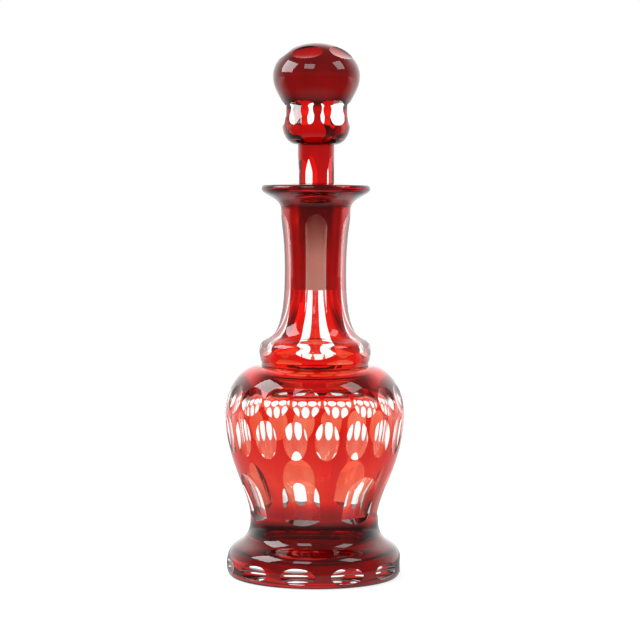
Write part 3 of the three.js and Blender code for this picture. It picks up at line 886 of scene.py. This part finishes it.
def make_floor():
    """White studio paper that keeps the object's shadow.

    The glass shows it with a painted shadow under the foot and white further out. Mirrored in the glass,
    it is painted darker on the camera's side.
    """
    mesh = bpy.data.meshes.new("floor")
    square = ((-1, -1), (1, -1), (1, 1), (-1, 1))
    corners = [(x * FLOOR_REACH, y * FLOOR_REACH, -FLOOR_DROP) for x, y in square]
    mesh.from_pydata(corners, [], [(0, 1, 2, 3)])
    floor = placed_object(mesh)
    material, tree, place = empty_material("pale studio floor")
    rays = node(tree, "ShaderNodeLightPath").outputs
    back = node(tree, "ShaderNodeSeparateXYZ", {0: place}).outputs["Y"]
    away = node(tree, "ShaderNodeVectorMath", {0: place}, operation="LENGTH").outputs["Value"]
    # Painted shadow: the paper seen through the glass glows dimmer under the foot
    through = node(tree, "ShaderNodeMapRange", {
        "Value": away,
        "From Min": 0.05,
        "From Max": 0.25,
        "To Min": 0.25,
        "To Max": 1.15,
    })
    # Painted shade: mirrored in the glass, the paper on the camera's side glows dimmer further out
    in_front = node(tree, "ShaderNodeMapRange", {
        "Value": away,
        "From Min": 0.1,
        "From Max": 0.35,
        "To Min": 0.6,
        "To Max": 0.15,
    })
    mirrored = node(tree, "ShaderNodeMapRange", {
        "Value": back,
        "From Min": 0.0,
        "From Max": 0.5,
        "To Min": in_front.outputs[0],
        "To Max": 1.3,
    })
    level = node(tree, "ShaderNodeMix", {
        "Factor": rays["Is Transmission Ray"],
        "A": mirrored.outputs[0],
        "B": through.outputs[0],
    })
    seen_in_glass = node(tree, "ShaderNodeEmission", {"Color": WHITE, "Strength": level.outputs[0]})
    straight = node(tree, "ShaderNodeMath", {0: rays["Is Camera Ray"], 1: PAPER_LIGHT}, operation="MULTIPLY")
    light = node(tree, "ShaderNodeEmission", {"Color": WHITE, "Strength": straight.outputs[0]})
    lit = node(tree, "ShaderNodeBsdfDiffuse", {"Color": PAPER_GREY})
    paper = node(tree, "ShaderNodeAddShader", {0: lit.outputs[0], 1: light.outputs[0]})
    by_glass = node(tree, "ShaderNodeMath", {
        0: rays["Is Glossy Ray"],
        1: rays["Is Transmission Ray"],
    }, operation="MAXIMUM")
    both = node(tree, "ShaderNodeMixShader", {
        0: by_glass.outputs[0],
        1: paper.outputs[0],
        2: seen_in_glass.outputs[0],
    })
    node(tree, "ShaderNodeOutputMaterial", {"Surface": both.outputs[0]})
    mesh.materials.append(material)


# World: how bright it is to the camera, to the floor's paper, and at its darkest in the glass
CAMERA_LEVEL = 1.0
ROOM_LEVEL = 0.8
DARKEST_LEVEL = 0.2


def make_world():
    """A white studio.

    What shows through the glass is white all round and dark overhead. What the glass mirrors is white behind
    it and dark on the camera's side and at the ceiling, so that it keeps its colour.
    """
    world = bpy.data.worlds.new("white studio")
    bpy.context.scene.world = world
    world.use_nodes = True
    tree = world.node_tree
    tree.nodes.clear()
    rays = node(tree, "ShaderNodeLightPath").outputs
    direction = node(tree, "ShaderNodeTexCoord").outputs["Generated"]
    parts = node(tree, "ShaderNodeSeparateXYZ", {0: direction}).outputs
    sides_through = node(tree, "ShaderNodeMapRange", {
        "Value": parts["Y"],
        "From Min": -0.1,
        "From Max": 0.7,
        "To Min": 0.85,
        "To Max": 1.4,
    })
    sides_mirrored = node(tree, "ShaderNodeMapRange", {
        "Value": parts["Y"],
        "From Min": 0.0,
        "From Max": 0.7,
        "To Min": 0.15,
        "To Max": 1.5,
    })
    ceiling_through = node(tree, "ShaderNodeMapRange", {
        "Value": parts["Z"],
        "From Min": 0.3,
        "From Max": 0.6,
        "To Min": 1.0,
        "To Max": 0.1,
    })
    ceiling_mirrored = node(tree, "ShaderNodeMapRange", {
        "Value": parts["Z"],
        "From Min": 0.5,
        "From Max": 0.9,
        "To Min": 1.0,
        "To Max": 0.1,
    })
    passes = rays["Is Transmission Ray"]
    sides = node(tree, "ShaderNodeMix", {
        "Factor": passes,
        "A": sides_mirrored.outputs[0],
        "B": sides_through.outputs[0],
    })
    ceiling = node(tree, "ShaderNodeMix", {
        "Factor": passes,
        "A": ceiling_mirrored.outputs[0],
        "B": ceiling_through.outputs[0],
    })
    seen = node(tree, "ShaderNodeMath", {0: ceiling.outputs[0], 1: sides.outputs[0]}, operation="MULTIPLY")
    seen = node(tree, "ShaderNodeMath", {0: seen.outputs[0], 1: DARKEST_LEVEL}, operation="MAXIMUM")
    by_glass = node(tree, "ShaderNodeMath", {0: rays["Is Glossy Ray"], 1: passes}, operation="MAXIMUM")
    level = node(tree, "ShaderNodeMix", {
        "Factor": by_glass.outputs[0],
        "A": ROOM_LEVEL,
        "B": seen.outputs[0],
    })
    level = node(tree, "ShaderNodeMix", {
        "Factor": rays["Is Camera Ray"],
        "A": level.outputs[0],
        "B": CAMERA_LEVEL,
    })
    back = node(tree, "ShaderNodeBackground", {"Color": WHITE, "Strength": level.outputs[0]})
    node(tree, "ShaderNodeOutputWorld", {"Surface": back.outputs[0]})


# Lamps: name, place, width and height in metres, and power in watts
LAMPS = (
    ("left softbox", (-0.5, -0.04, 0.53), 0.4, 0.34, 3.2),
    ("front left lamp", (-0.16, -0.43, 0.6), 0.24, 0.2, 0.6),
    ("front right lamp", (0.38, -0.13, 0.56), 0.2, 0.24, 0.6),
)
LAMP_TARGET = (0, 0, 0.15)


def make_lamp(name, place, width, height, power):
    light = bpy.data.lights.new(name, "AREA")
    light.shape = "RECTANGLE"
    light.size = width
    light.size_y = height
    light.energy = power
    made = bpy.data.objects.new(name, light)
    bpy.context.scene.collection.objects.link(made)
    made.location = place
    made.rotation_euler = (Vector(LAMP_TARGET) - Vector(place)).to_track_quat("-Z", "Y").to_euler()


# Camera: its place in metres, its angles, and its lens and film in millimetres
CAMERA_PLACE = (0.0023, -1.1886, 0.2188)
CAMERA_PITCH = math.radians(3.57)
CAMERA_ROLL = math.radians(-0.3)
FOCAL_MM = 118.75
FILM_MM = 36.0


def make_camera():
    data = bpy.data.cameras.new("camera")
    data.lens = FOCAL_MM
    data.sensor_width = FILM_MM
    camera = bpy.data.objects.new("camera", data)
    bpy.context.scene.collection.objects.link(camera)
    camera.location = CAMERA_PLACE
    camera.rotation_euler = Euler((math.pi / 2 - CAMERA_PITCH, CAMERA_ROLL, 0), "YXZ")
    bpy.context.scene.camera = camera


# How many glass surfaces a ray may pass, and how many it may be mirrored by
GLASS_BOUNCES = 40
MIRROR_BOUNCES = 24

make_floor()
make_world()
for lamp in LAMPS:
    make_lamp(*lamp)
make_camera()

scene = bpy.context.scene
scene.view_settings.view_transform = "Standard"
scene.cycles.max_bounces = GLASS_BOUNCES
scene.cycles.transmission_bounces = GLASS_BOUNCES
scene.cycles.glossy_bounces = MIRROR_BOUNCES
